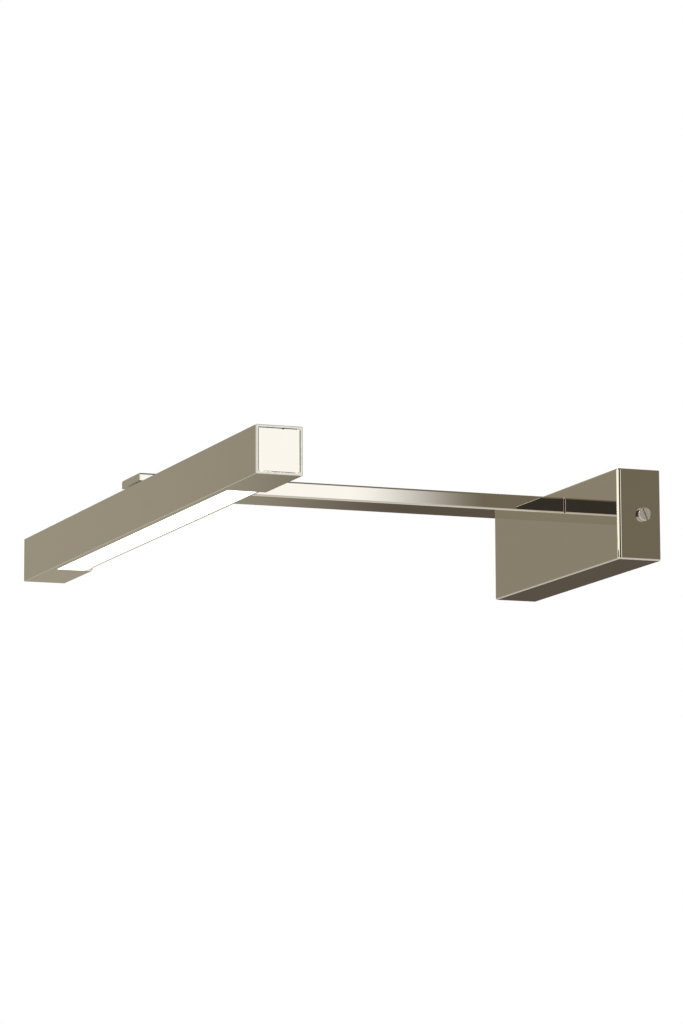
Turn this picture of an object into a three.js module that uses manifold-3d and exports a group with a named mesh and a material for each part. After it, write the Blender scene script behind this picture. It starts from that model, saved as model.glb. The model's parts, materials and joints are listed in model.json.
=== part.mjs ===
// Wall picture light with a swivelling LED bar, millimetres, +Z up.
// The origin is the centre of the wall plate's back, so the wall is the plane Y = 0.
// The light stands out along -Y, and the LED bar lies along X.
import * as THREE from 'three';
import { mergeVertices } from 'three/addons/utils/BufferGeometryUtils.js';
import Module from 'manifold-3d';

const wasm = await Module();
wasm.setup();

// ---- driving dimensions ------------------------------------------------------------

const GAP = 0.3;                // clearance between pieces that touch
const SEAM = 0.2;               // hairline joint between polished faces

const PLATE = { width: 172, depth: 25, height: 50, wall: 1.5, edge: 1.2 };
const REACH = 250;              // wall plate's front face to the bar's front face, along Y
const BAR = { length: 400, side: 25, wall: 1.3, edge: 0.4, centreZ: 2 };
const ARM = { width: 31, height: 9, wall: 1.2, edge: 1.1, topZ: 19.5 };
const TONGUE = { thickness: 4.2, shoulder: 24, endBlock: 3, plug: 18 };
const LENS = { half: 146.5, lip: 3.8, recess: 1.9, overlap: 3.5, thickness: 2, leg: 1.5 };
const BRACKET = { height: 24, thickness: 1.6, ear: 16, earHeight: 18 };
const COVER_SCREW = {
  head: 3.75, headHeight: 2.4, length: 9, slotWidth: 1, slotDepth: 1.2, slotTilt: Math.PI / 8,
};
const ARM_SCREW_X = 10;
const CABLE_R = 0.9;
const FINE = 40;                // sides of a visible round
const COARSE = 24;              // sides of a hidden round

// ---- places that follow from them --------------------------------------------------

const plateFront = -PLATE.depth;
const insideFront = plateFront + PLATE.wall;
const barBack = -REACH;
const barFront = barBack - BAR.side;
const barTop = BAR.centreZ + BAR.side / 2;
const barBottom = BAR.centreZ - BAR.side / 2;
const tubeFront = barFront + BAR.wall;
const tubeBack = barBack - BAR.wall;
const tubeTop = barTop - BAR.wall;
const pivotY = barBack - BAR.side / 2;
const shoulderY = barBack + TONGUE.shoulder;
const armEndY = shoulderY + TONGUE.endBlock;
const armMidZ = ARM.topZ - ARM.height / 2;
const armBottomZ = ARM.topZ - ARM.height;
const tongueBottomZ = ARM.topZ - TONGUE.thickness;
const lensBottomZ = barBottom + LENS.recess;

// ---- materials ---------------------------------------------------------------------

const finish = (color, roughness, metalness) =>
  new THREE.MeshStandardMaterial({ color, roughness, metalness });
const NICKEL = finish(0xcdc6b8, 0.08, 1);
const STEEL = finish(0xa9abad, 0.35, 1);
const ALUMINIUM = finish(0xc4c6c8, 0.4, 1);
const BRASS = finish(0xb6924a, 0.3, 1);
const BLACK_PLASTIC = finish(0x1c1c1e, 0.55, 0);
const WHITE_PLASTIC = finish(0xe8e6e0, 0.5, 0);
const NYLON = finish(0xdcdad2, 0.45, 0);
const RUBBER = finish(0x161616, 0.8, 0);
const OPAL = finish(0xfbf8f0, 0.35, 0);
const BOARD = finish(0xf2f2ee, 0.5, 0);
const PCB_GREEN = finish(0x1f5a3a, 0.5, 0);
const PHOSPHOR = finish(0xf0d264, 0.6, 0);
const BROWN_SLEEVE = finish(0x6b3f22, 0.5, 0);
const BLUE_SLEEVE = finish(0x2f5fa8, 0.5, 0);

// ---- solid modelling helpers -------------------------------------------------------

// A three.js geometry as a manifold solid.
function solid(geometry) {
  const bare = geometry.clone();
  bare.deleteAttribute('normal');
  bare.deleteAttribute('uv');
  const merged = mergeVertices(bare, 1e-4);
  return new wasm.Manifold(new wasm.Mesh({
    numProp: 3,
    vertProperties: new Float32Array(merged.attributes.position.array),
    triVerts: new Uint32Array(merged.index.array),
  }));
}

// A box given by its lowest and highest corner.
function block([x0, y0, z0], [x1, y1, z1]) {
  const geometry = new THREE.BoxGeometry(x1 - x0, y1 - y0, z1 - z0);
  geometry.translate((x0 + x1) / 2, (y0 + y1) / 2, (z0 + z1) / 2);
  return solid(geometry);
}

// A round bar along one axis, from one value to another, centred on a point.
function rod(axis, [x, y, z], from, to, radius, sides = COARSE) {
  const geometry = new THREE.CylinderGeometry(radius, radius, to - from, sides);
  const middle = (from + to) / 2;
  if (axis === 'x') geometry.rotateZ(-Math.PI / 2).translate(middle, y, z);
  if (axis === 'y') geometry.translate(x, middle, z);
  if (axis === 'z') geometry.rotateX(Math.PI / 2).translate(x, y, middle);
  return solid(geometry);
}

// A ring along one axis.
function ring(axis, centre, from, to, inner, outer, sides = COARSE) {
  return rod(axis, centre, from, to, outer, sides)
    .subtract(rod(axis, centre, from - 1, to + 1, inner, sides));
}

// A rectangle with round corners, centred on (x, y).
function roundedRectangle(width, height, radius, x = 0, y = 0) {
  const w = width / 2;
  const h = height / 2;
  const shape = new THREE.Shape();
  shape.moveTo(x + w, y - h + radius);
  shape.absarc(x + w - radius, y + h - radius, radius, 0, Math.PI / 2);
  shape.absarc(x - w + radius, y + h - radius, radius, Math.PI / 2, Math.PI);
  shape.absarc(x - w + radius, y - h + radius, radius, Math.PI, 1.5 * Math.PI);
  shape.absarc(x + w - radius, y - h + radius, radius, 1.5 * Math.PI, 2 * Math.PI);
  return shape;
}

// A shape in X and Z, extruded along Y from one value to another.
function alongY(shape, from, to, segments = 3) {
  const geometry = new THREE.ExtrudeGeometry(shape, {
    depth: to - from, bevelEnabled: false, curveSegments: segments,
  });
  geometry.rotateX(Math.PI / 2).translate(0, to, 0);
  return solid(geometry);
}

// A shape in Y and Z, extruded along X from one value to another.
function alongX(shape, from, to, segments = 3) {
  const geometry = new THREE.ExtrudeGeometry(shape, {
    depth: to - from, bevelEnabled: false, curveSegments: segments,
  });
  geometry.rotateZ(Math.PI / 2).rotateY(Math.PI / 2).translate(from, 0, 0);
  return solid(geometry);
}

// A round lead along a smooth curve through hand-chosen points.
function lead(points, radius, steps, sides = 8) {
  const path = new THREE.CatmullRomCurve3(
    points.map((p) => new THREE.Vector3(...p)), false, 'centripetal',
  );
  const section = new THREE.Shape();
  section.absarc(0, 0, radius, 0, 2 * Math.PI);
  return solid(new THREE.ExtrudeGeometry(section, {
    steps, curveSegments: sides / 2, bevelEnabled: false, extrudePath: path,
  }));
}

const sorted = (a, b) => (a < b ? [a, b] : [b, a]);

// A screw blank along X, Y or Z. The head's underside is at seat, the head goes away from tip.
function screwBlank(axis, centre, seat, tip, shank, head, headHeight, sides) {
  const away = Math.sign(seat - tip);
  const [s0, s1] = sorted(tip, seat + away * 0.1);
  const [h0, h1] = sorted(seat, seat + away * headHeight);
  return rod(axis, centre, s0, s1, shank, sides).add(rod(axis, centre, h0, h1, head, sides));
}

// A screw with a hexagon socket.
function screw(axis, centre, seat, tip, shank, head, headHeight, sides = COARSE) {
  const away = Math.sign(seat - tip);
  const [d0, d1] = sorted(seat + away * headHeight * 0.5, seat + away * (headHeight + 1));
  return screwBlank(axis, centre, seat, tip, shank, head, headHeight, sides)
    .subtract(rod(axis, centre, d0, d1, head * 0.38, 6));
}

const light = new THREE.Group();

// Puts a solid into the model as one named mesh.
function piece(name, body, material) {
  const { vertProperties, triVerts } = body.getMesh();
  const geometry = new THREE.BufferGeometry();
  geometry.setAttribute('position', new THREE.BufferAttribute(vertProperties, 3));
  geometry.setIndex(new THREE.BufferAttribute(triVerts, 1));
  geometry.computeVertexNormals();
  const mesh = new THREE.Mesh(geometry, material);
  mesh.name = name;
  light.add(mesh);
}

// ---- wall bracket ------------------------------------------------------------------

const earOuterX = PLATE.width / 2 - PLATE.wall - GAP;
const coverScrewY = -10;
const DRIVER = { x0: -74, x1: 18, z0: -21, z1: 5, seatY: -BRACKET.thickness - GAP, depth: 16 };
const driverScrews = [DRIVER.x0 - 4, DRIVER.x1 + 4];
const driverScrewZ = -8;
const TERMINAL = { x0: 36, x1: 60, z0: -9, z1: 9, depth: 13 };
const terminalScrewX = (TERMINAL.x0 + TERMINAL.x1) / 2;
const earthScrew = [70, 0, 6];

function wallBracket() {
  const t = BRACKET.thickness;
  let strap = block([-earOuterX, -t, -BRACKET.height / 2], [earOuterX, 0, BRACKET.height / 2]);
  for (const side of [-1, 1]) {
    const [x0, x1] = side > 0 ? [earOuterX - t, earOuterX] : [-earOuterX, -earOuterX + t];
    strap = strap.add(block([x0, -BRACKET.ear, -BRACKET.earHeight / 2], [x1, 0, BRACKET.earHeight / 2]));
    strap = strap.subtract(
      rod('x', [0, coverScrewY, 0], side * earOuterX - 4, side * earOuterX + 4, 2 + GAP),
    );
    // fixing slots for wall screws, two each side of the solid middle
    strap = strap.subtract(alongY(roundedRectangle(12, 4.6, 2.29, side * 30, 8.5), -5, 5));
    strap = strap.subtract(alongY(roundedRectangle(12, 4.6, 2.29, side * 30, -8.5), -5, 5));
  }
  // supply cable entry, beside the terminal block
  strap = strap.subtract(rod('y', [30, 0, 0], -5, 5, 4.5));
  for (const x of driverScrews) {
    strap = strap.subtract(rod('y', [x, 0, driverScrewZ], -5, 5, 1.5 + GAP));
  }
  strap = strap.subtract(rod('y', [terminalScrewX, 0, 0], -5, 5, 1.5 + GAP));
  strap = strap.subtract(rod('y', earthScrew, -5, 5, 2 + GAP));
  return strap;
}

piece('wall_bracket', wallBracket(), STEEL);
piece('earth_screw', screw('y', earthScrew, -BRACKET.thickness - 0.1, -0.1, 2, 3.6, 2.4), BRASS);

// ---- wall plate cover --------------------------------------------------------------

// A box with round front edges and corners, open at the back.
function plateCover() {
  const r = PLATE.edge;
  const outline = roundedRectangle(PLATE.width - 2 * r, PLATE.height - 2 * r, 0.01);
  const bevelled = new THREE.ExtrudeGeometry(outline, {
    depth: 2 * PLATE.depth, bevelEnabled: true, bevelThickness: r, bevelSize: r,
    bevelSegments: 4, curveSegments: 2,
  });
  bevelled.rotateX(Math.PI / 2).translate(0, plateFront + r + 2 * PLATE.depth, 0);
  const w = PLATE.width / 2;
  const h = PLATE.height / 2;
  const t = PLATE.wall;
  let cover = solid(bevelled)
    .subtract(block([-w - 5, 0, -h - 5], [w + 5, 3 * PLATE.depth, h + 5]))
    .subtract(block([-w + t, insideFront, -h + t], [w - t, 5, h - t]));
  cover = cover.subtract(rod('x', [0, coverScrewY, 0], -w - 5, w + 5, 2 + GAP));
  for (const side of [-1, 1]) {
    cover = cover.subtract(
      rod('y', [side * ARM_SCREW_X, 0, armMidZ], plateFront - 5, insideFront + 2, 1.5 + GAP),
    );
  }
  return cover.subtract(rod('y', [0, 0, armMidZ], plateFront - 5, insideFront + 2, 3.3));
}

// A cheese-headed screw. Its slot stands a little off upright, as it was tightened.
function coverScrew(side) {
  const { head, headHeight, slotWidth, slotDepth, slotTilt } = COVER_SCREW;
  const seat = side * (PLATE.width / 2 + 0.1);
  const tip = side * (PLATE.width / 2 - COVER_SCREW.length);
  const slot = new THREE.BoxGeometry(2 * slotDepth, slotWidth, 3 * head);
  slot.rotateX(slotTilt).translate(seat + side * headHeight, coverScrewY, 0);
  return screwBlank('x', [0, coverScrewY, 0], seat, tip, 2, head, headHeight, FINE)
    .subtract(solid(slot));
}

piece('backplate_cover', plateCover(), NICKEL);
piece('cover_screw_left', coverScrew(-1), NICKEL);
piece('cover_screw_right', coverScrew(1), NICKEL);

// ---- LED driver --------------------------------------------------------------------

const driverBack = DRIVER.seatY;
const driverFront = driverBack - DRIVER.depth;
const LID = 2;
const driverWall = 1.4;

function driverCase() {
  const { x0, x1, z0, z1 } = DRIVER;
  const w = driverWall;
  let body = block([x0, driverFront + LID + GAP, z0], [x1, driverBack, z1])
    .subtract(block([x0 + w, driverFront - 5, z0 + w], [x1 - w, driverBack - w, z1 - w]));
  for (const x of driverScrews) {
    const [a, b] = x < 0 ? [x - 4, x0 + 0.5] : [x1 - 0.5, x + 4];
    body = body.add(block([a, driverBack - 2, driverScrewZ - 5], [b, driverBack, driverScrewZ + 5]));
    body = body.subtract(rod('y', [x, 0, driverScrewZ], driverBack - 4, driverBack + 1, 1.5 + GAP));
  }
  // cable exits in the right-hand end
  for (const z of driverExits) {
    body = body.subtract(rod('x', [0, driverExitY, z], x1 - 4, x1 + 4, CABLE_R + GAP, 12));
  }
  return body;
}

function driverBoard() {
  const { x0, x1, z0, z1 } = DRIVER;
  const inset = driverWall + GAP;
  const back = driverBack - driverWall - GAP;
  const top = back - 1.6;
  let board = block([x0 + inset, top, z0 + inset], [x1 - inset, back, z1 - inset]);
  // transformer, capacitors and choke stand on the board
  board = board.add(block([x0 + 40, top - 8, -17], [x0 + 56, top + 0.5, 1]));
  board = board.add(block([x0 + 8, top - 5, -16], [x0 + 15, top + 0.5, -2]));
  board = board.add(rod('y', [x0 + 26, 0, -12], top - 9, top + 0.5, 5, 16));
  board = board.add(rod('y', [x0 + 68, 0, -13], top - 8.5, top + 0.5, 4, 16));
  return board.add(block([x0 + 62, top - 3, -5], [x0 + 74, top + 0.5, 0]));
}

function driverLid() {
  const { x0, x1, z0, z1 } = DRIVER;
  const inset = driverWall + GAP;
  const lid = block([x0, driverFront, z0], [x1, driverFront + LID, z1]);
  const rim = block([x0 + inset, driverFront + 1, z0 + inset],
    [x1 - inset, driverFront + LID + 1.5, z1 - inset]);
  const hollow = block([x0 + inset + 1.2, driverFront + LID, z0 + inset + 1.2],
    [x1 - inset - 1.2, driverFront + 9, z1 - inset - 1.2]);
  return lid.add(rim.subtract(hollow));
}

const driverExitY = driverBack - 6;
const driverExits = [-15, -11, -1];

piece('driver_case', driverCase(), BLACK_PLASTIC);
piece('driver_board', driverBoard(), PCB_GREEN);
piece('driver_lid', driverLid(), BLACK_PLASTIC);
for (const [i, name] of ['driver_screw_left', 'driver_screw_right'].entries()) {
  piece(name, screw('y', [driverScrews[i], 0, driverScrewZ], driverBack - 2.1, -0.1, 1.5, 2.75, 2), STEEL);
}

// ---- terminal block ----------------------------------------------------------------

const terminalBack = DRIVER.seatY;
const terminalFront = terminalBack - TERMINAL.depth;
const terminalWires = [-4.5, 4.5];
const terminalY = terminalBack - 5;
const terminalScrewInset = 5;

function terminalBlock() {
  const { x0, x1, z0, z1 } = TERMINAL;
  let body = block([x0, terminalFront, z0], [x1, terminalBack, z1]);
  // the two cells are divided by a groove, and each has a wire hole at both ends
  body = body.subtract(block([x0 - 1, terminalFront - 1, -0.8], [x1 + 1, terminalFront + 5, 0.8]));
  for (const z of terminalWires) {
    for (const [from, to] of [[x0 - 1, x0 + 9], [x1 - 9, x1 + 1]]) {
      body = body.subtract(rod('x', [0, terminalY, z], from, to, 1.6, 16));
    }
    for (const x of [x0 + terminalScrewInset, x1 - terminalScrewInset]) {
      body = body.subtract(rod('y', [x, 0, z], terminalFront - 1, terminalY, 1.9, 16));
    }
  }
  return body.subtract(rod('y', [terminalScrewX, 0, 0], terminalFront - 1, 1, 1.5 + GAP))
    .subtract(rod('y', [terminalScrewX, 0, 0], terminalFront - 1, terminalFront + 6.5, 3));
}

piece('terminal_block', terminalBlock(), WHITE_PLASTIC);
let terminalCount = 0;
for (const x of [TERMINAL.x0 + terminalScrewInset, TERMINAL.x1 - terminalScrewInset]) {
  for (const z of terminalWires) {
    terminalCount += 1;
    const body = rod('y', [x, 0, z], terminalFront + 2, terminalY - 1.2, 1.6, 16)
      .subtract(block([x - 2, terminalFront + 1, z - 0.3], [x + 2, terminalFront + 3, z + 0.3]));
    piece(`terminal_screw_${terminalCount}`, body, BRASS);
  }
}
piece('terminal_fixing_screw', screw('y', [terminalScrewX, 0, 0],
  terminalFront + 6.4, -0.1, 1.5, 2.7, 2), STEEL);

// Leads from the driver's supply side to the near end of the terminal block.
function supplyLead(exitZ, wireZ) {
  const start = DRIVER.x1 - driverWall - 1;
  const end = TERMINAL.x0 + 3;
  const y = driverExitY;
  return lead([
    [start, y, exitZ], [DRIVER.x1 + 3, y, exitZ], [DRIVER.x1 + 8, (y + terminalY) / 2, (exitZ + wireZ) / 2],
    [TERMINAL.x0 - 3, terminalY, wireZ], [end, terminalY, wireZ],
  ], CABLE_R, 24);
}
piece('driver_lead_live', supplyLead(driverExits[1], terminalWires[1]), BROWN_SLEEVE);
piece('driver_lead_neutral', supplyLead(driverExits[0], terminalWires[0]), BLUE_SLEEVE);

// ---- arm ---------------------------------------------------------------------------

const armRoot = plateFront - SEAM;
const backing = { y0: insideFront + SEAM, y1: insideFront + SEAM + 2, x: 22, z0: 8, z1: 23 };
const plugWidth = ARM.width - 2 * ARM.wall - 2 * GAP;
const plugHeight = ARM.height - 2 * ARM.wall - 2 * GAP;
const rootBlockEnd = armRoot - 14;

function armTube() {
  const outer = roundedRectangle(ARM.width, ARM.height, ARM.edge, 0, armMidZ);
  const inner = roundedRectangle(ARM.width - 2 * ARM.wall, ARM.height - 2 * ARM.wall, 0.2, 0, armMidZ);
  return alongY(outer, armEndY + SEAM, armRoot)
    .subtract(alongY(inner, armEndY - 5, armRoot + 5, 2));
}

function armBackingPlate() {
  let plate = block([-backing.x, backing.y0, backing.z0], [backing.x, backing.y1, backing.z1]);
  for (const side of [-1, 1]) {
    plate = plate.subtract(
      rod('y', [side * ARM_SCREW_X, 0, armMidZ], backing.y0 - 1, backing.y1 + 1, 1.5 + GAP),
    );
  }
  return plate.subtract(rod('y', [0, 0, armMidZ], backing.y0 - 1, backing.y1 + 1, 4.6));
}

function armRootBlock() {
  const w = plugWidth / 2;
  const h = plugHeight / 2;
  let body = block([-w, rootBlockEnd, armMidZ - h], [w, armRoot - GAP, armMidZ + h]);
  for (const side of [-1, 1]) {
    body = body.subtract(
      rod('y', [side * ARM_SCREW_X, 0, armMidZ], rootBlockEnd + 1.5, armRoot + 1, 1.5 + GAP),
    );
  }
  // cable way, open at the bottom
  return body.subtract(block([-2, rootBlockEnd - 1, armMidZ - h - 1], [2, armRoot + 1, armMidZ + 2]));
}

const channelZ = ARM.topZ - 2.3;
const channelR = CABLE_R + 0.35;
const socketTop = ARM.topZ - 1.05;
const NIPPLE = { r: 5, bore: 3.2, top: socketTop - GAP, bottom: barTop - 7.6 };

// End block brazed into the tube. Its tongue lies over the bar and holds the pivot.
function armTongue() {
  const full = roundedRectangle(ARM.width, ARM.height, ARM.edge, 0, armMidZ);
  const below = block([-ARM.width, barFront - 1, armBottomZ - 1], [ARM.width, shoulderY, tongueBottomZ]);
  const w = plugWidth / 2;
  const h = plugHeight / 2;
  let body = alongY(full, barFront, armEndY).subtract(below);
  body = body.add(block([-w, armEndY - 0.5, armMidZ - h], [w, armEndY + TONGUE.plug, armMidZ + h]));
  const slotTop = armMidZ + h + 1;
  return body
    .subtract(block([-channelR, armEndY + 0.01, channelZ - channelR], [channelR, armEndY + 30, slotTop]))
    .subtract(rod('y', [0, 0, channelZ], pivotY, armEndY + 1, channelR, 16))
    .subtract(rod('z', [0, pivotY, 0], tongueBottomZ - 1, socketTop, NIPPLE.r + GAP, FINE));
}

piece('arm_backing_plate', armBackingPlate(), STEEL);
piece('arm_tube', armTube(), NICKEL);
piece('arm_root_block', armRootBlock(), STEEL);
piece('arm_tongue', armTongue(), NICKEL);
for (const [name, side] of [['arm_screw_left', -1], ['arm_screw_right', 1]]) {
  piece(name, screw('y', [side * ARM_SCREW_X, 0, armMidZ],
    backing.y1 + 0.1, rootBlockEnd + 2.5, 1.5, 2.75, 2.4), STEEL);
}

// Rubber grommet in the front wall, where the cable goes into the arm.
function grommet() {
  const neck = ring('y', [0, 0, armMidZ], plateFront - 0.1, backing.y1 + 0.2, 1.6, 3, COARSE);
  return neck.add(ring('y', [0, 0, armMidZ], backing.y1 - 1.6, backing.y1 + 0.2, 1.6, 4.3, COARSE));
}
piece('cable_grommet', grommet(), RUBBER);

// ---- pivot -------------------------------------------------------------------------

const BUSH = { sleeve: 6, flange: 9, flangeThickness: 1 };
const bushBottom = tubeTop - GAP - BUSH.flangeThickness;
const washerTop = bushBottom - 0.2;
const nutTop = washerTop - 1;
const pivot = [0, pivotY, 0];

// Hollow threaded nipple. A slot in its top lets the cable in from the arm.
function pivotNipple() {
  return ring('z', pivot, NIPPLE.bottom, NIPPLE.top, NIPPLE.bore, NIPPLE.r, FINE)
    .subtract(block([-1.7, pivotY, channelZ - 1.7], [1.7, pivotY + 8, NIPPLE.top + 1]));
}

// A split ring, sprung up at one side of its split.
function springWasher() {
  return ring('z', pivot, washerTop - 0.8, washerTop, NIPPLE.r + GAP, 8.2, COARSE)
    .subtract(block([-0.6, pivotY - 10, washerTop - 2], [0.6, pivotY, washerTop + 1]));
}

const runningClearance = 0.15;
const bushBore = NIPPLE.r + runningClearance;
piece('pivot_nipple', pivotNipple(), STEEL);
piece('pivot_slip_washer',
  ring('z', pivot, barTop + 0.1, tongueBottomZ - 0.1, NIPPLE.r + GAP, 10.5, FINE), NYLON);
piece('pivot_bush', ring('z', pivot, bushBottom, barTop - 0.1, bushBore, BUSH.sleeve, FINE)
  .add(ring('z', pivot, bushBottom, bushBottom + BUSH.flangeThickness, bushBore, BUSH.flange, FINE)), NYLON);
piece('pivot_spring_washer', springWasher(), STEEL);
piece('pivot_nut', rod('z', pivot, nutTop - 3, nutTop, 14 / Math.sqrt(3), 6)
  .subtract(rod('z', pivot, nutTop - 5, nutTop + 5, NIPPLE.r + GAP, FINE)), STEEL);

// ---- LED bar -----------------------------------------------------------------------

function headHousing() {
  const half = BAR.length / 2;
  const midY = barBack - BAR.side / 2;
  const bore = BAR.side - 2 * BAR.wall;
  // section drawn in Y and Z
  const outer = roundedRectangle(BAR.side, BAR.side, BAR.edge, midY, BAR.centreZ);
  const inner = roundedRectangle(bore, bore, 0.2, midY, BAR.centreZ);
  return alongX(outer, -half, half)
    .subtract(alongX(inner, -half - 5, half + 5, 2))
    .subtract(block([-LENS.half, barFront + LENS.lip, barBottom - 1], [LENS.half, barBack + 1, lensBottomZ]))
    .subtract(rod('z', pivot, barTop - 4, barTop + 1, BUSH.sleeve + GAP, FINE));
}

// Inset end plate with two sprung legs, and a pry notch in its top edge.
function endCap(side) {
  const half = BAR.length / 2;
  const clear = 0.15;
  const along = (a, b) => (side > 0 ? [half - b, half - a] : [-half + a, -half + b]);
  const [p0, p1] = along(0.2, 2.2);
  const [l0, l1] = along(2, 12);
  const z0 = barBottom + BAR.wall + clear;
  const z1 = tubeTop - clear;
  let cap = block([p0, tubeFront + clear, z0], [p1, tubeBack - clear, z1]);
  cap = cap.add(block([l0, tubeFront + GAP, z0 + 4], [l1, tubeFront + 1.8, z1 - 4]));
  cap = cap.add(block([l0, tubeBack - 1.8, z0 + 4], [l1, tubeBack - GAP, z1 - 4]));
  return cap.subtract(block([p0 - 1, pivotY - 1.5, z1 - 0.8], [p1 + 1, pivotY + 1.5, z1 + 1]));
}

piece('head_housing', headHousing(), NICKEL);
piece('end_cap_left', endCap(-1), NICKEL);
piece('end_cap_right', endCap(1), NICKEL);

// ---- light source ------------------------------------------------------------------

const sourceHalf = LENS.half + LENS.overlap;
const carrierBase = { z0: 0.6, z1: 2.4 };
const headLeadX = 26;
const boardTop = carrierBase.z0 - GAP;
const boardBottom = boardTop - 1;

// Aluminium channel that carries the LED board and takes its heat to the housing.
function ledCarrier() {
  const y0 = tubeFront + GAP;
  const y1 = tubeBack - GAP;
  const channel = block([-sourceHalf, y0, carrierBase.z0], [sourceHalf, y1, carrierBase.z1 + 3])
    .subtract(block([-sourceHalf - 1, y0 + 1.5, carrierBase.z1],
      [sourceHalf + 1, y1 - 1.5, carrierBase.z1 + 9]));
  return channel.subtract(rod('z', [headLeadX - 0.5, pivotY, 0], -2, 6, 2.2, 16));
}

// Opal channel lens. Its legs stand on the inside of the housing's walls.
function diffuser() {
  const y0 = tubeFront + GAP;
  const y1 = tubeBack - GAP;
  const top = carrierBase.z0 - GAP;
  return block([-sourceHalf, y0, lensBottomZ], [sourceHalf, y1, top])
    .subtract(block([-sourceHalf - 1, y0 + LENS.leg, lensBottomZ + LENS.thickness],
      [sourceHalf + 1, y1 - LENS.leg, top + 5]));
}

piece('led_carrier', ledCarrier(), ALUMINIUM);
piece('led_board', block([-sourceHalf + 4, pivotY - 6, boardBottom],
  [sourceHalf - 4, pivotY + 6, boardTop]), BOARD);
piece('led_phosphor', alongX(roundedRectangle(4, 0.8, 0.39, pivotY, boardBottom - SEAM - 0.4),
  -sourceHalf + 8, sourceHalf - 8), PHOSPHOR);
piece('diffuser', diffuser(), OPAL);

// ---- cable inside the arm and the bar ----------------------------------------------

const cableMeetZ = barTop - 5;
const bend = 3.5;
const bendPoints = [0.25, 0.5, 0.75].map((t) => [
  0,
  pivotY + bend * (1 - Math.sin((t * Math.PI) / 2)),
  channelZ - bend * (1 - Math.cos((t * Math.PI) / 2)),
]);
piece('arm_cable', lead([
  [DRIVER.x1 - driverWall - 1, driverExitY, driverExits[2]],
  [DRIVER.x1 + 3, driverExitY, driverExits[2]],
  [27, driverExitY - 1, 4],
  [26, driverExitY - 3, 11],
  [18, driverExitY - 5, 15],
  [8, driverExitY - 5.5, armMidZ],
  [2, driverExitY - 8, armMidZ],
  [0, driverExitY - 13, armMidZ],
  [0, plateFront - 10, armMidZ],
  [0, -70, armMidZ],
  [0, -120, armMidZ],
  [0, -160, armMidZ + 0.6],
  [0, -190, channelZ - 0.2],
  [0, armEndY + TONGUE.plug + 2, channelZ],
  [0, shoulderY, channelZ],
  [0, pivotY + 12, channelZ],
  [0, pivotY + bend, channelZ],
  ...bendPoints,
  [0, pivotY, channelZ - bend],
  [0, pivotY, cableMeetZ + GAP / 2],
], CABLE_R, 110), RUBBER);
piece('head_lead', lead([
  [0, pivotY, cableMeetZ - GAP / 2],
  [0, pivotY, cableMeetZ - 1.6],
  [2, pivotY, cableMeetZ - 4.6],
  [7, pivotY, cableMeetZ - 6],
  [14, pivotY, cableMeetZ - 6.2],
  [20, pivotY, cableMeetZ - 5.8],
  [24, pivotY, cableMeetZ - 6.4],
  [headLeadX - 0.3, pivotY, carrierBase.z1 - 0.4],
  [headLeadX, pivotY, boardTop + GAP],
], CABLE_R, 40), RUBBER);

export default light;
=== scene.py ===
"""Looks of the swivelling LED wall light: mirror-polished nickel over moulded, cast and plated works.

Everything is in metres in the row frame: the wall is the plane Y = 0, the light stands out along -Y,
its LED bar lies along X, and Z is up.
"""
import json
import math

import bmesh
import bpy
from mathutils import Matrix, Vector


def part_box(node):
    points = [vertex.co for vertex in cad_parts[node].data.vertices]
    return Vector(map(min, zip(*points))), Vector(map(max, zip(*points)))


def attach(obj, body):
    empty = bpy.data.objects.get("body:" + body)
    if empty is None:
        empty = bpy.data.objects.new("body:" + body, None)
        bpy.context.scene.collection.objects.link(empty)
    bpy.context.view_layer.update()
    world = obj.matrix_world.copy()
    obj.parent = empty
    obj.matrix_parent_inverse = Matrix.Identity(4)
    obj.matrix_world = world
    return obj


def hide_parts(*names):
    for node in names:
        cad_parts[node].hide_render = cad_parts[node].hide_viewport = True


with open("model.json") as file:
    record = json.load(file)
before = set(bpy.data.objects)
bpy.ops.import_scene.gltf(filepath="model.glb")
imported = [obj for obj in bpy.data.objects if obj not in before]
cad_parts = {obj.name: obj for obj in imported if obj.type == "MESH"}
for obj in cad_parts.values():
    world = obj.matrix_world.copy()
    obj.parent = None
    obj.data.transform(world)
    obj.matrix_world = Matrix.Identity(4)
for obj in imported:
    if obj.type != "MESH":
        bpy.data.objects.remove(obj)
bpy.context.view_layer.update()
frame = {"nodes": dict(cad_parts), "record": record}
NODES = frame["nodes"]
RECORD = frame["record"]
MM = 0.001

# ---- camera ------------------------------------------------------------------------

AZIMUTH = math.radians(69.03)     # camera's place round the light, from the front
ELEVATION = math.radians(-9.12)   # it looks up from below the light
ROLL = math.radians(-0.25)
LENS_MM = 149.2
CAMERA_AT = Vector((2.1569, -0.9795, -0.3640))


def look_from(azimuth, elevation, roll):
    level = math.cos(elevation)
    back = Vector((math.sin(azimuth) * level, -math.cos(azimuth) * level, math.sin(elevation)))
    right = (-back).cross(Vector((0, 0, 1))).normalized()
    up = right.cross(-back)
    c, s = math.cos(roll), math.sin(roll)
    return Matrix((c * right + s * up, c * up - s * right, back)).transposed()


def make_camera():
    data = bpy.data.cameras.new("camera")
    data.lens = LENS_MM
    camera = bpy.data.objects.new("camera", data)
    turned = look_from(AZIMUTH, ELEVATION, ROLL).to_4x4()
    camera.matrix_world = Matrix.Translation(CAMERA_AT) @ turned
    bpy.context.scene.collection.objects.link(camera)
    bpy.context.scene.camera = camera


make_camera()

# ---- node trees --------------------------------------------------------------------


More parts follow.
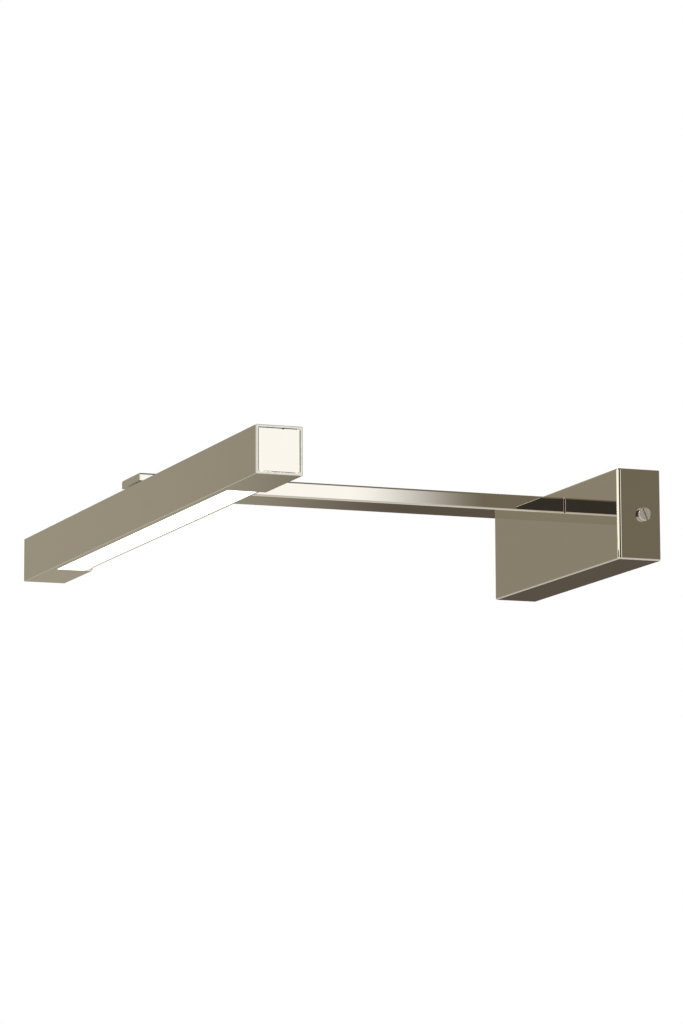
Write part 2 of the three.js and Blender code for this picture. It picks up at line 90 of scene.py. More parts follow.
class Graph:
    """A few short calls for building a node tree."""

    def __init__(self, tree):
        self.tree = tree
        tree.nodes.clear()

    def set(self, socket, value):
        if isinstance(value, bpy.types.NodeSocket):
            self.tree.links.new(value, socket)
        elif hasattr(value, "__len__") and len(value) == 3 and socket.type == "RGBA":
            socket.default_value = (*value, 1)
        else:
            socket.default_value = value

    def add(self, kind, inputs=None, **settings):
        node = self.tree.nodes.new(kind)
        for key, value in settings.items():
            setattr(node, key, value)
        for key, value in (inputs or {}).items():
            self.set(node.inputs[key], value)
        return node

    def math(self, operation, a, b=0.0, c=0.0):
        return self.add("ShaderNodeMath", {0: a, 1: b, 2: c}, operation=operation).outputs[0]

    def remap(self, value, low, high, to_low=0.0, to_high=1.0, smooth=True):
        """Runs from to_low to to_high as value runs from low to high, and stays there outside."""
        kind = "SMOOTHSTEP" if smooth else "LINEAR"
        return self.add("ShaderNodeMapRange", {
            "Value": value, "From Min": low, "From Max": high, "To Min": to_low, "To Max": to_high,
        }, interpolation_type=kind).outputs[0]

    def mix(self, factor, a, b, blend="MIX"):
        node = self.add("ShaderNodeMix", {0: factor}, data_type="RGBA", blend_type=blend)
        self.set(node.inputs[6], a)
        self.set(node.inputs[7], b)
        return node.outputs[2]

    def place(self, stretch=(1, 1, 1)):
        """A point of the piece in metres, stretched."""
        here = self.add("ShaderNodeTexCoord").outputs["Object"]
        return self.add("ShaderNodeMapping", {"Vector": here, "Scale": stretch}).outputs[0]

    def noise(self, scale, detail=3.0, rough=0.5, stretch=(1, 1, 1), distortion=0.0):
        return self.add("ShaderNodeTexNoise", {
            "Vector": self.place(stretch), "Scale": scale, "Detail": detail, "Roughness": rough,
            "Distortion": distortion}).outputs[0]

    def bump(self, height, strength, distance, normal=None):
        inputs = {"Height": height, "Strength": strength, "Distance": distance}
        if normal is not None:
            inputs["Normal"] = normal
        return self.add("ShaderNodeBump", inputs).outputs[0]


# ---- studio ------------------------------------------------------------------------
# A plain studio: a few large cards with soft edges. Each is placed by direction: a turn round
# the vertical in degrees (0 is +X, 90 is the wall side), and a height above the horizon.

bpy.context.scene.view_settings.view_transform = "Standard"

CEILING = (0.19, 0.165, 0.12)
FLOOR_GLOW = (0.24, 0.21, 0.16)
WARM_WALL = (0.30, 0.27, 0.21)
WARM_CARD = (0.37, 0.34, 0.27)
DARK_SIDE = (0.05, 0.045, 0.04)
BEHIND = (0.11, 0.09, 0.07)
SOFTBOX = (1.30, 1.22, 1.08)
SOFTBOX_HOOD = (0.46, 0.44, 0.39)
WHITE_CARD = (1.2, 1.2, 1.2)
WINDOW = (0.60, 0.59, 0.55)

# (tone, (turn from, to, height from, to), how many degrees its edges fade either side)
CARDS = [
    (BEHIND, (100, 160, -40, 0), 2),
    (WARM_WALL, (-200, -130, -45, 40), 3),
    (WARM_CARD, (-200, -160, -45, 40), 3),
    (WARM_CARD, (160, 200, -45, 40), 2),
    (SOFTBOX_HOOD, (-135, -45, 10, 50), 3),
    (SOFTBOX, (-135, -45, -12, 12), 3),
    (DARK_SIDE, (-40, 5, -10, 30), 4),
    (WHITE_CARD, (5, 22, -10, 25), 1),
    (WINDOW, (55, 80, 12, 50), 8),
    (WINDOW, (100, 140, 6, 48), 10),
]


def card_over(g, under, turn, height, tone, box, fade):
    """Lays one soft-edged card over what is under it."""
    t0, t1, h0, h1 = box
    mask = g.remap(turn, t0 - fade, t0 + fade)
    mask = g.math("MULTIPLY", mask, g.remap(turn, t1 - fade, t1 + fade, 1, 0))
    mask = g.math("MULTIPLY", mask, g.remap(height, h0 - fade, h0 + fade))
    mask = g.math("MULTIPLY", mask, g.remap(height, h1 - fade, h1 + fade, 1, 0))
    return g.mix(mask, under, tone)


def make_world():
    """The backdrop the camera sees is white. Everything else sees the cards."""
    world = bpy.data.worlds.new("studio")
    bpy.context.scene.world = world
    world.use_nodes = True
    g = Graph(world.node_tree)
    ray = g.add("ShaderNodeTexCoord").outputs["Generated"]
    xyz = g.add("ShaderNodeSeparateXYZ", {0: ray}).outputs
    turn = g.math("MULTIPLY", g.math("ARCTAN2", xyz[1], xyz[0]), 180 / math.pi)
    height = g.math("MULTIPLY", g.math("ARCSINE", xyz[2]), 180 / math.pi)
    colour = g.mix(g.remap(height, -6.0, 2.0), FLOOR_GLOW, CEILING)
    for tone, box, fade in CARDS:
        colour = card_over(g, colour, turn, height, tone, box, fade)
    seen = g.add("ShaderNodeLightPath").outputs["Is Camera Ray"]
    colour = g.mix(seen, colour, (1, 1, 1))
    shade = g.add("ShaderNodeBackground", {"Color": colour, "Strength": 1.0})
    g.add("ShaderNodeOutputWorld", {"Surface": shade.outputs[0]})


make_world()


def soft_light(name, at, aim, size, watts):
    data = bpy.data.lights.new(name, "AREA")
    data.shape = "RECTANGLE"
    data.size, data.size_y = size
    data.energy = watts
    light = bpy.data.objects.new(name, data)
    light.location = at
    light.rotation_euler = (Vector(aim) - Vector(at)).to_track_quat("-Z", "Y").to_euler()
    bpy.context.scene.collection.objects.link(light)
    return light


soft_light("key", (-0.5, -2.3, 1.7), (0, -0.1, 0), (1.5, 0.9), 30)
rear_fill = soft_light("rear_fill", (-0.9, 1.6, 0.9), (0, 0, 0), (1.2, 0.9), 14)
rear_fill.visible_glossy = False

# ---- materials ---------------------------------------------------------------------


def material(name):
    m = bpy.data.materials.new(name)
    m.use_nodes = True
    return m, Graph(m.node_tree)


def finish(g, **inputs):
    """The surface shader. A name's underscores stand for spaces."""
    named = {key.replace("_", " "): value for key, value in inputs.items()}
    bsdf = g.add("ShaderNodeBsdfPrincipled", named)
    g.add("ShaderNodeOutputMaterial", {"Surface": bsdf.outputs[0]})


def nickel(name, waviness=1.0, tint=(0.80, 0.77, 0.70), haze=0.005, sawn_ends=None):
    """Mirror-polished nickel plate: faint wipe marks, a clouded patch here and there, a slow roll.

    sawn_ends is how far out along X the piece has faced, less polished ends."""
    m, g = material(name)
    cloud = g.noise(14.0, 4.0, 0.6)
    wipe = g.noise(60.0, 3.0, 0.6, stretch=(0.25, 0.25, 2.2), distortion=0.6)
    dust = g.noise(900.0, 2.0, 0.7)
    smudge = g.math("MULTIPLY", g.remap(cloud, 0.52, 0.72), g.remap(wipe, 0.42, 0.66))
    colour = g.mix(smudge, tint, tuple(0.97 * c for c in tint))
    rough = g.remap(smudge, 0, 1, haze, haze + 0.015, smooth=False)
    rough = g.math("ADD", rough, g.remap(dust, 0.68, 0.80, 0, 0.007))
    if sawn_ends:
        x = g.add("ShaderNodeSeparateXYZ", {0: g.place()}).outputs[0]
        sawn = g.math("GREATER_THAN", g.math("ABSOLUTE", x), sawn_ends)
        marks = g.noise(300.0, 2.0, 0.5)
        rough = g.math("MULTIPLY_ADD", sawn, g.remap(marks, 0.3, 0.7, 0.05, 0.12), rough)
        colour = g.mix(g.math("MULTIPLY", sawn, 0.8), colour, (0.63, 0.61, 0.55))
    roll = g.bump(g.noise(9.0, 1.0, 0.4), 0.5 * waviness, 0.0000045)
    finish(g, Base_Color=colour, Metallic=1.0, Roughness=rough, Normal=roll)
    return m


def plated_steel(name, tone=(0.62, 0.63, 0.64), grain=1.0):
    """Zinc plate: a fine crystalline mottle with a slight blue and yellow bloom."""
    m, g = material(name)
    crystal = g.add("ShaderNodeTexVoronoi", {"Vector": g.place(), "Scale": 420.0}).outputs["Color"]
    value = g.add("ShaderNodeSeparateColor", {0: crystal}).outputs[0]
    bloom = g.remap(g.noise(30.0, 3.0), 0.35, 0.65)
    colour = g.mix(bloom, tone, (tone[0] * 0.93, tone[1] * 0.97, tone[2] * 1.04))
    colour = g.mix(g.remap(value, 0, 1, 0, 0.18), colour, (0.80, 0.79, 0.74))
    rough = g.remap(value, 0, 1, 0.24, 0.40)
    normal = g.bump(g.noise(700.0, 3.0), 0.2 * grain, 0.00004)
    finish(g, Base_Color=colour, Metallic=1.0, Roughness=rough, Normal=normal)
    return m


def extruded_aluminium(name):
    """Mill-finish aluminium: die lines run along X."""
    m, g = material(name)
    lines = g.noise(1500.0, 3.0, 0.6, stretch=(0.004, 1, 1))
    colour = g.mix(g.remap(lines, 0.3, 0.7), (0.66, 0.67, 0.68), (0.82, 0.82, 0.82))
    finish(g, Base_Color=colour, Metallic=1.0, Roughness=g.remap(lines, 0.3, 0.7, 0.28, 0.46),
           Normal=g.bump(lines, 0.3, 0.00003))
    return m


def brass(name):
    m, g = material(name)
    turned = g.noise(1200.0, 2.0, 0.5, stretch=(1, 1, 0.05))
    tarnish = g.remap(g.noise(180.0, 4.0), 0.45, 0.7)
    colour = g.mix(tarnish, (0.82, 0.62, 0.27), (0.55, 0.38, 0.16))
    finish(g, Base_Color=colour, Metallic=1.0, Roughness=g.remap(turned, 0.3, 0.7, 0.2, 0.36),
           Normal=g.bump(turned, 0.15, 0.00003))
    return m


def moulded(name, tone, rough, grain=800.0, depth=0.00005, fleck=0.12):
    """Injection-moulded plastic: a spark-eroded grain and a slight flow of tone."""
    m, g = material(name)
    spark = g.add("ShaderNodeTexVoronoi", {"Vector": g.place(), "Scale": grain},
                  feature="SMOOTH_F1").outputs["Distance"]
    flow = g.remap(g.noise(25.0, 3.0, distortion=1.0), 0.35, 0.65)
    light = tuple(min(1.0, c * (1 + fleck) + 0.01) for c in tone)
    colour = g.mix(flow, tone, light)
    finish(g, Base_Color=colour, Roughness=g.remap(spark, 0, 0.8, rough - 0.06, rough + 0.08),
           Normal=g.bump(spark, 0.35, depth))
    return m


def rubber(name, tone=(0.018, 0.018, 0.019)):
    m, g = material(name)
    bloom = g.remap(g.noise(90.0, 5.0, 0.7), 0.45, 0.75)
    colour = g.mix(bloom, tone, tuple(c + 0.03 for c in tone))
    finish(g, Base_Color=colour, Roughness=g.remap(bloom, 0, 1, 0.62, 0.8),
           Normal=g.bump(g.noise(1100.0, 2.0), 0.25, 0.00005))
    return m


def sleeve(name, tone):
    """PVC lead sleeve: smooth, with the strands' lay just telegraphing through."""
    m, g = material(name)
    lay = g.add("ShaderNodeTexWave", {"Vector": g.place(), "Scale": 260.0, "Distortion": 1.5},
                bands_direction="DIAGONAL").outputs["Fac"]
    colour = g.mix(g.remap(lay, 0, 1, 0, 0.25), tone, tuple(c * 0.75 for c in tone))
    finish(g, Base_Color=colour, Roughness=g.remap(lay, 0, 1, 0.34, 0.44),
           Normal=g.bump(lay, 0.12, 0.00004))
    return m


def circuit_board(name, tone, copper, density):
    """Solder mask over tracks: raised lines at right angles, and tinned pads."""
    m, g = material(name)
    cells = g.add("ShaderNodeTexVoronoi", {"Vector": g.place(), "Scale": density},
                  distance="CHEBYCHEV", feature="F1").outputs["Distance"]
    track = g.math("MULTIPLY", g.remap(cells, 0.30, 0.33), g.remap(cells, 0.40, 0.43, 1, 0))
    pad = g.remap(cells, 0.055, 0.075, 1, 0)
    colour = g.mix(track, tone, copper)
    colour = g.mix(pad, colour, (0.78, 0.77, 0.74))
    metal = g.math("MULTIPLY", pad, 0.9)
    finish(g, Base_Color=colour, Metallic=metal, Roughness=g.remap(pad, 0, 1, 0.42, 0.25),
           Normal=g.bump(g.math("MAXIMUM", track, pad), 0.4, 0.00006))
    return m


def phosphor_strip(name):
    """Chips under a yellow phosphor gel: a chip each five millimetres, lit."""
    m, g = material(name)
    here = g.add("ShaderNodeTexCoord").outputs["Object"]
    x = g.add("ShaderNodeSeparateXYZ", {0: here}).outputs[0]
    along = g.math("FRACT", g.math("MULTIPLY", x, 200.0))
    beat = g.math("ABSOLUTE", g.math("SUBTRACT", along, 0.5))
    chip = g.remap(beat, 0.16, 0.24, 1, 0)
    gel = g.remap(g.noise(500.0, 2.0), 0.3, 0.7, 0.9, 1.0)
    colour = g.mix(chip, (0.93, 0.74, 0.20), (0.98, 0.90, 0.45))
    finish(g, Base_Color=colour, Roughness=g.math("MULTIPLY", gel, 0.35),
           Emission_Color=(1.0, 0.86, 0.55, 1), Emission_Strength=g.remap(chip, 0, 1, 1.0, 5.0))
    return m


def opal_lens(name):
    """Opal acrylic lit from behind: brightest over the strip, a little less at its edges."""
    m, g = material(name)
    low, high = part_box("diffuser")
    here = g.add("ShaderNodeTexCoord").outputs["Object"]
    y = g.add("ShaderNodeSeparateXYZ", {0: here}).outputs[1]
    middle, half = (low.y + high.y) / 2, (high.y - low.y) / 2
    off = g.math("DIVIDE", g.math("ABSOLUTE", g.math("SUBTRACT", y, middle)), half)
    cloud = g.remap(g.noise(45.0, 4.0), 0.3, 0.7, 0.97, 1.03)
    glow = g.math("MULTIPLY", g.remap(off, 0.0, 1.0, 2.6, 1.7), cloud)
    frost = g.noise(1600.0, 2.0, 0.6)
    finish(g, Base_Color=(0.93, 0.92, 0.88, 1), Roughness=g.remap(frost, 0.3, 0.7, 0.32, 0.46),
           Normal=g.bump(frost, 0.15, 0.00003),
           Emission_Color=(1.0, 0.985, 0.955, 1), Emission_Strength=glow)
    return m


LOOKS = {
    "polished_nickel": nickel("polished_nickel"),
    "zinc_steel": plated_steel("zinc_steel"),
    "aluminium": extruded_aluminium("aluminium"),
    "brass": brass("brass"),
    "black_plastic": moulded("black_plastic", (0.020, 0.020, 0.022), 0.52),
    "white_plastic": moulded("white_plastic", (0.78, 0.77, 0.73), 0.46, fleck=0.05),
    "nylon": moulded("nylon", (0.72, 0.71, 0.66), 0.40, grain=500.0, fleck=0.05),
    "black_rubber": rubber("black_rubber"),
    "opal_lens": opal_lens("opal_lens"),
    "white_board": circuit_board("white_board", (0.86, 0.86, 0.84), (0.78, 0.78, 0.75), 120.0),
    "green_board": circuit_board("green_board", (0.020, 0.14, 0.055), (0.05, 0.24, 0.09), 260.0),
    "phosphor": phosphor_strip("phosphor"),
    "brown_sleeve": sleeve("brown_sleeve", (0.17, 0.055, 0.02)),
    "blue_sleeve": sleeve("blue_sleeve", (0.035, 0.12, 0.42)),
}

BAR_LOOK = nickel("polished_nickel_bar", sawn_ends=199.98 * MM)
CAP_LOOK = nickel("polished_nickel_cap", waviness=0.2)
SCREW_LOOK = nickel("polished_nickel_screw", haze=0.20)

SLOT_OF = {part["node"]: part["material_slot"] for part in RECORD["subparts"]}
BODY_OF = {node: body for body, nodes in RECORD["behaviour"]["bodies"].items() for node in nodes}
for node_name, node in NODES.items():
    node.data.materials.clear()
    node.data.materials.append(LOOKS[SLOT_OF[node_name]])

# ---- mesh helpers ------------------------------------------------------------------


def mesh_object(name, bm, look):
    bmesh.ops.recalc_face_normals(bm, faces=bm.faces)
    mesh = bpy.data.meshes.new(name)
    bm.to_mesh(mesh)
    bm.free()
    mesh.materials.append(look)
    piece = bpy.data.objects.new(name, mesh)
    bpy.context.scene.collection.objects.link(piece)
    return piece


def apply_modifiers(piece):
    bpy.context.view_layer.update()
    graph = bpy.context.evaluated_depsgraph_get()
    mesh = bpy.data.meshes.new_from_object(piece.evaluated_get(graph))
    piece.modifiers.clear()
    piece.data = mesh


def block(low, high):
    """A closed box as a bmesh."""
    bm = bmesh.new()
    bmesh.ops.create_cube(bm, size=1.0)
    low, high = Vector(low), Vector(high)
    for v in bm.verts:
        v.co = Vector(low[i] if v.co[i] < 0 else high[i] for i in range(3))
    return bm


def cylinder(axis, centre, start, end, radius, sides=48):
    """A closed round bar along an axis, as a bmesh."""
    bm = bmesh.new()
    bmesh.ops.create_cone(bm, cap_ends=True, segments=sides, radius1=radius, radius2=radius,
                          depth=end - start)
    if axis == "x":
        bm.transform(Matrix.Rotation(math.pi / 2, 4, "Y"))
    elif axis == "y":
        bm.transform(Matrix.Rotation(math.pi / 2, 4, "X"))
    place = Vector(centre)
    place["xyz".index(axis)] = (start + end) / 2
    bm.transform(Matrix.Translation(place))
    return bm


def cut(piece, tool, operation="DIFFERENCE"):
    """Cuts a bmesh away from a piece, or joins it on."""
    helper = mesh_object("tool", tool, piece.data.materials[0])
    change = piece.modifiers.new("cut", "BOOLEAN")
    change.object = helper
    change.operation = operation
    change.solver = "EXACT"
    apply_modifiers(piece)
    bpy.data.objects.remove(helper)


def dress(piece, flat_axes="xyz", limit=50.0):
    """Shades the piece smooth, with the flats across these axes held exactly flat, as a mirror
    needs. Faces that meet at more than limit degrees keep a sharp edge between them."""
    mesh = piece.data
    least = math.cos(math.radians(limit))
    normals = [face.normal.copy() for face in mesh.polygons]
    flat = [any(abs(n["xyz".index(a)]) > 0.99999 for a in flat_axes) for n in normals]
    around = [[] for _ in mesh.vertices]
    for face in mesh.polygons:
        face.use_smooth = True
        for v in face.vertices:
            around[v].append(face.index)
    corners = [None] * len(mesh.loops)
    for face in mesh.polygons:
        own = normals[face.index]
        for v, corner in zip(face.vertices, face.loop_indices):
            near = [f for f in around[v] if normals[f].dot(own) > least]
            flats = [normals[f] for f in near if flat[f]]
            if flat[face.index]:
                corners[corner] = own
            elif flats:
                corners[corner] = max(flats, key=own.dot)
            else:
                total = sum((normals[f] * mesh.polygons[f].area for f in near), Vector())
                corners[corner] = total.normalized() if total.length > 0 else own
    mesh.normals_split_custom_set(corners)


def stands_for(piece, *nodes):
    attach(piece, BODY_OF[nodes[0]])
    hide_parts(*nodes)


# ---- wall plate cover --------------------------------------------------------------

PLATE_WALL = 1.5 * MM
INSIDE_FOLD = 0.5 * MM
COVER_SCREW_HOLE = 2.3 * MM       # this and the next two are radii
ARM_SCREW_HOLE = 1.8 * MM
GROMMET_HOLE = 3.3 * MM
CORNER_ROLL = 1.9 * MM            # the two upright front edges, rolled over most in the polishing
EDGE_ROLL = 1.0 * MM              # every other outside edge


def wall_cover():
    """A folded and brazed box, open at the back, its edges rolled over in the polishing."""
    low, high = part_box("backplate_cover")
    bm = block(low, high)
    weight = bm.edges.layers.float.new("bevel_weight_edge")
    for edge in bm.edges:
        a, b = edge.verts
        at_front = max(a.co.y, b.co.y) < low.y + MM
        upright = abs(a.co.z - b.co.z) > MM
        if min(a.co.y, b.co.y) < low.y + MM:
            edge[weight] = 1.0 if at_front and upright else EDGE_ROLL / CORNER_ROLL
    piece = mesh_object("wall_cover", bm, LOOKS["polished_nickel"])
    rolled = piece.modifiers.new("rolled", "BEVEL")
    rolled.limit_method = "WEIGHT"
    rolled.width = CORNER_ROLL
    rolled.segments = 8
    apply_modifiers(piece)
    w = PLATE_WALL
    hollow = block((low.x + w, low.y + w, low.z + w), (high.x - w, high.y + w, high.z - w))
    bmesh.ops.bevel(hollow, geom=list(hollow.edges), offset=INSIDE_FOLD, segments=3, profile=0.5,
                    affect="EDGES")
    cut(piece, hollow)
    screw_low, screw_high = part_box("cover_screw_right")
    at = (screw_low + screw_high) / 2
    cut(piece, cylinder("x", (0, at.y, at.z), low.x - MM, high.x + MM, COVER_SCREW_HOLE))
    for node, radius in (("arm_screw_left", ARM_SCREW_HOLE), ("arm_screw_right", ARM_SCREW_HOLE),
                         ("cable_grommet", GROMMET_HOLE)):
        a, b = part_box(node)
        cut(piece, cylinder("y", (a + b) / 2, low.y - MM, low.y + 2 * PLATE_WALL, radius))
    dress(piece)
    stands_for(piece, "backplate_cover")


wall_cover()

# ---- arm ---------------------------------------------------------------------------

ARM_EDGE = 1.1 * MM
ARM_WALL = 1.2 * MM
BORE_EDGE = 0.3 * MM
HAIRLINE = 0.02 * MM              # the brazed and polished joint between tube and tongue
SIDE_EASE = 0.9 * MM              # on the tube's sides, where it butts against the wall plate
TIP_EASE = 0.25 * MM              # round the tongue's end face


def loft(name, rings, along, look):
    """A closed skin of quads through rings of points, each ring at its place along X or Y.

    It is capped at both ends, unless the first ring comes again as the last."""
    bm = bmesh.new()
    loops = []
    for points, at in rings:
        if along == "x":
            loops.append([bm.verts.new((at, a, b)) for a, b in points])
        else:
            loops.append([bm.verts.new((a, at, b)) for a, b in points])
    if rings[0] == rings[-1]:
        for v in loops.pop():
            bm.verts.remove(v)
        loops.append(loops[0])
        ends = []
    else:
        ends = [loops[0], loops[-1]]
    for a, b in zip(loops, loops[1:]):
        for i in range(len(a)):
            j = (i + 1) % len(a)
            bm.faces.new((a[i], a[j], b[j], b[i]))
    for end in ends:
        bm.faces.new(end)
    return mesh_object(name, bm, look)


def section(centre, width, height, radius, steps=5):
    """Points round a rectangle with round corners."""
    points = []
    for corner, (sx, sy) in enumerate(((1, 1), (-1, 1), (-1, -1), (1, -1))):
        for i in range(steps + 1):
            a = math.radians(90 * (corner + i / steps))
            points.append((centre[0] + sx * (width / 2 - radius) + radius * math.cos(a),
                           centre[1] + sy * (height / 2 - radius) + radius * math.sin(a)))
    return points


def arm_bar():
    """The flat tube. Its sides are eased where it butts against the wall plate."""
    low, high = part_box("arm_tube")
    size = high - low
    mid = ((low.x + high.x) / 2, (low.z + high.z) / 2)
    start = joint_y() + HAIRLINE
    outer = section(mid, size.x, size.z, ARM_EDGE)
    inner = section(mid, size.x - 2 * ARM_WALL, size.z - 2 * ARM_WALL, BORE_EDGE)
    eased = section(mid, size.x - 2 * SIDE_EASE, size.z - 0.06 * MM, 0.35 * MM)
    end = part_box("backplate_cover")[0].y - HAIRLINE
    rings = [(inner, start), (outer, start), (outer, end - SIDE_EASE), (eased, end), (inner, end)]
    piece = loft("arm_bar", rings + rings[:1], "y", LOOKS["polished_nickel"])
    dress(piece)
    stands_for(piece, "arm_tube")


def joint_y():
    """Where the tube meets the tongue's end block."""
    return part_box("arm_tube")[0].y - 0.2 * MM


TONGUE_THICKNESS = 4.2 * MM
SHOULDER_BLOCK = 3.0 * MM
PLUG_FIT = 0.3 * MM               # gap between the plug and the tube's bore
PIVOT_HOLE = 5.3 * MM             # radius, for the nipple's screwed end
CABLE_CHANNEL = 1.25 * MM         # radius
CHANNEL_DEPTH = 2.3 * MM          # of its centre, below the arm's top


def arm_end():
    """The end block and its tongue, lapped over the bar, and the plug brazed into the tube."""
    low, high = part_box("arm_tongue")
    width, height = high.x - low.x, high.z - low.z
    mid = ((low.x + high.x) / 2, (low.z + high.z) / 2)
    end = joint_y()
    eased = section(mid, width - 2 * TIP_EASE, height - 2 * TIP_EASE, ARM_EDGE - TIP_EASE)
    outer = section(mid, width, height, ARM_EDGE)
    rings = [(eased, low.y), (outer, low.y + TIP_EASE), (outer, end)]
    piece = loft("arm_end", rings, "y", LOOKS["polished_nickel"])
    under = high.z - TONGUE_THICKNESS
    shoulder = end - SHOULDER_BLOCK
    cut(piece, block((low.x - MM, low.y - MM, low.z - MM), (high.x + MM, shoulder, under)))
    inset = ARM_WALL + PLUG_FIT
    plug = block((low.x + inset, end - 0.5 * MM, low.z + inset),
                 (high.x - inset, high.y, high.z - inset))
    cut(piece, plug, "UNION")
    channel = high.z - CHANNEL_DEPTH
    cut(piece, block((-CABLE_CHANNEL, end, channel - CABLE_CHANNEL),
                     (CABLE_CHANNEL, high.y + MM, high.z - inset + MM)))
    pivot_low, pivot_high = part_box("pivot_nipple")
    pivot = (pivot_low + pivot_high) / 2
    cut(piece, cylinder("y", (0, 0, channel), pivot.y, end + MM, CABLE_CHANNEL, 16))
    cut(piece, cylinder("z", pivot, under - MM, pivot_high.z + 0.3 * MM, PIVOT_HOLE))
    dress(piece)
    stands_for(piece, "arm_tongue")


arm_bar()
arm_end()

# ---- cover screws ------------------------------------------------------------------

THREAD_PITCH = 0.7 * MM
THREAD_DEPTH = 0.32 * MM
SHANK_RADIUS = 2.0 * MM
HEAD_HEIGHT = 2.4 * MM
HEAD_ROUNDING = 0.45 * MM
SLOT_DEPTH = 1.2 * MM
SLOT_HALF_WIDTH = 0.5 * MM
SLOT_TILT = math.pi / 8
SCREW_SIDES = 40


def cover_screw(node, side):
    """A cheese-headed screw with a rolled thread and a slot left a little off upright."""
    low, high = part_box(node)
    centre = (low + high) / 2
    head_radius = (high.y - low.y) / 2
    face, tip = (high.x, low.x) if side > 0 else (low.x, high.x)
    seat = face - side * HEAD_HEIGHT
    rows = int(round(abs(seat - tip) / (THREAD_PITCH / 4)))
    threaded = [tip + (seat - tip) * i / rows for i in range(1, rows)]
    bm = bmesh.new()

    def ring(x, radius_at):
        verts = []
        for i in range(SCREW_SIDES):
            t = 2 * math.pi * i / SCREW_SIDES
            r = radius_at(t)
            verts.append(bm.verts.new((x, centre.y + r * math.cos(t), centre.z + r * math.sin(t))))
        return verts

    def plain(radius):
        return lambda t: radius

    def thread(x):
        def radius(t):
            phase = (abs(x - tip) / THREAD_PITCH - t / (2 * math.pi)) % 1.0
            return SHANK_RADIUS - THREAD_DEPTH * abs(2 * phase - 1)
        return radius

    loops = [ring(tip, plain(SHANK_RADIUS - 0.5 * MM))]
    loops += [ring(x, thread(x)) for x in threaded]
    loops += [ring(seat, plain(SHANK_RADIUS - 0.3 * MM)), ring(seat, plain(head_radius))]
    for i in range(5):
        a = math.radians(90 * i / 4)
        x = face - side * HEAD_ROUNDING * (1 - math.sin(a))
        loops.append(ring(x, plain(head_radius - HEAD_ROUNDING * (1 - math.cos(a)))))
    for a, b in zip(loops, loops[1:]):
        for i in range(SCREW_SIDES):
            j = (i + 1) % SCREW_SIDES
            bm.faces.new((a[i], a[j], b[j], b[i]))
    bm.faces.new(loops[0])
    bm.faces.new(loops[-1])
    piece = mesh_object(node.replace("cover_screw", "slotted_screw"), bm, SCREW_LOOK)
    slot = block((-SLOT_DEPTH, -SLOT_HALF_WIDTH, -6 * MM), (SLOT_DEPTH, SLOT_HALF_WIDTH, 6 * MM))
    slot.transform(Matrix.Rotation(SLOT_TILT, 4, "X"))
    slot.transform(Matrix.Translation((face, centre.y, centre.z)))
    cut(piece, slot)
    dress(piece, "x", 40.0)
    stands_for(piece, node)


cover_screw("cover_screw_left", -1)
cover_screw("cover_screw_right", 1)

# ---- LED bar -----------------------------------------------------------------------

BAR_EDGE = 0.4 * MM
BAR_WALL = 1.3 * MM
BAR_END_EASE = 0.28 * MM
MOUTH_FLARE = 0.16 * MM           # how much wider the bore is at its very ends
LENS_LIP = 3.8 * MM               # what stays of the underside in front of the lens
LENS_HALF = 146.5 * MM
BUSH_HOLE = 6.3 * MM              # radius


def bar_housing():
    """The square tube, its ends faced and eased, with the lens opening and the bush's hole."""
    low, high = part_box("head_housing")
    size = high - low
    mid = ((low.y + high.y) / 2, (low.z + high.z) / 2)
    wide, tall = size.y - 2 * BAR_WALL, size.z - 2 * BAR_WALL
    bore = section(mid, wide, tall, 0.3 * MM)
    mouth = section(mid, wide + MOUTH_FLARE, tall + MOUTH_FLARE, 0.4 * MM)
    outer = section(mid, size.y, size.z, BAR_EDGE)
    e = BAR_END_EASE
    half_way = section(mid, size.y - 0.6 * e, size.z - 0.6 * e, BAR_EDGE - 0.3 * e)
    face = section(mid, size.y - 2 * e, size.z - 2 * e, BAR_EDGE - 0.9 * e)
    rings = []
    for end, inward in ((low.x, 1), (high.x, -1)):
        ring = [(bore, end + inward * 0.12 * MM), (mouth, end), (face, end),
                (half_way, end + inward * 0.3 * e), (outer, end + inward * e)]
        rings += ring if inward > 0 else ring[::-1]
    piece = loft("bar_housing", rings + rings[:1], "x", BAR_LOOK)
    lens_low, lens_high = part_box("diffuser")
    cut(piece, block((-LENS_HALF, low.y + LENS_LIP, low.z - MM),
                     (LENS_HALF, high.y + MM, lens_low.z)))
    pivot_low, pivot_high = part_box("pivot_bush")
    cut(piece, cylinder("z", (pivot_low + pivot_high) / 2, high.z - 4 * MM, high.z + MM, BUSH_HOLE))
    dress(piece)
    stands_for(piece, "head_housing")


CAP_INSET = 0.05 * MM
CAP_THICKNESS = 2.0 * MM
CAP_BAND = 0.9 * MM               # the border that falls away by CAP_FALL from the flat middle
CAP_FALL = CAP_BAND * math.tan(math.radians(0.5))
CAP_EDGE = 0.16 * MM
LEG_THICKNESS = 1.5 * MM
LEG_REACH = 11.8 * MM
NOTCH_OFFSET = 2.1 * MM           # from the cap's middle, towards the wall
NOTCH_HALF = 0.5 * MM


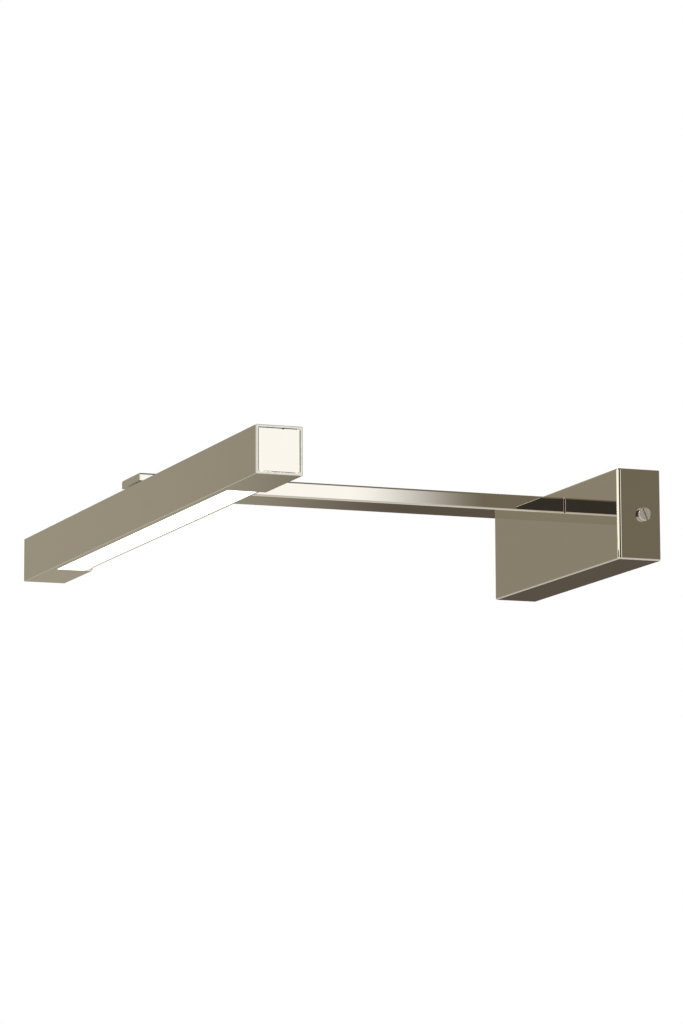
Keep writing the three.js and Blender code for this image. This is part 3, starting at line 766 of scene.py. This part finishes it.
def end_cap(node, side):
    """An inset plate, its face a shade pillowed by the polishing, with two sprung legs."""
    low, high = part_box(node)
    face = high.x if side > 0 else low.x
    inward = -side
    z0, z1 = low.z + CAP_INSET, high.z - CAP_INSET
    mid = ((low.y + high.y) / 2, (low.z + high.z) / 2)
    w, h = high.y - low.y - 2 * CAP_INSET, high.z - low.z - 2 * CAP_INSET
    border = 2 * (CAP_EDGE + CAP_BAND)
    back = section(mid, w, h, 0.4 * MM)
    rim = section(mid, w - 2 * CAP_EDGE, h - 2 * CAP_EDGE, 0.3 * MM)
    flat = section(mid, w - border, h - border, 0.25 * MM)
    rings = [(back, face + inward * CAP_THICKNESS), (back, face + inward * (CAP_FALL + CAP_EDGE)),
             (rim, face + inward * CAP_FALL), (flat, face)]
    piece = loft(node.replace("end_cap", "bar_end_plate"), rings, "x", CAP_LOOK)
    x0, x1 = sorted((face + inward * (CAP_THICKNESS - 0.2 * MM), face + inward * LEG_REACH))
    near_leg = low.y + 0.15 * MM
    far_leg = high.y - 0.15 * MM - LEG_THICKNESS
    for y in (near_leg, far_leg):
        leg = block((x0, y, z0 + 4 * MM), (x1, y + LEG_THICKNESS, z1 - 4 * MM))
        cut(piece, leg, "UNION")
    notch = (low.y + high.y) / 2 + NOTCH_OFFSET
    cut(piece, block((face - 3 * MM, notch - NOTCH_HALF, high.z - 0.5 * MM),
                     (face + 3 * MM, notch + NOTCH_HALF, high.z + MM)))
    dress(piece, "xyz", 20.0)
    stands_for(piece, node)


bar_housing()
end_cap("end_cap_left", -1)
end_cap("end_cap_right", 1)

# ---- floor -------------------------------------------------------------------------

FLOOR_Z = -1.6
FLOOR_RADIUS = 8.0


def floor():
    """A plain pale disc, well below the light."""
    m, g = material("floor")
    tone = g.mix(g.remap(g.noise(1.5, 3.0), 0.3, 0.7), (0.80, 0.79, 0.77), (0.84, 0.83, 0.81))
    finish(g, Base_Color=tone, Roughness=0.9,
           Emission_Color=(1.0, 0.985, 0.96, 1), Emission_Strength=0.3)
    bm = bmesh.new()
    bmesh.ops.create_circle(bm, cap_ends=True, radius=FLOOR_RADIUS, segments=128)
    bm.transform(Matrix.Translation((0, 0, FLOOR_Z)))
    ground = mesh_object("floor", bm, m)


floor()
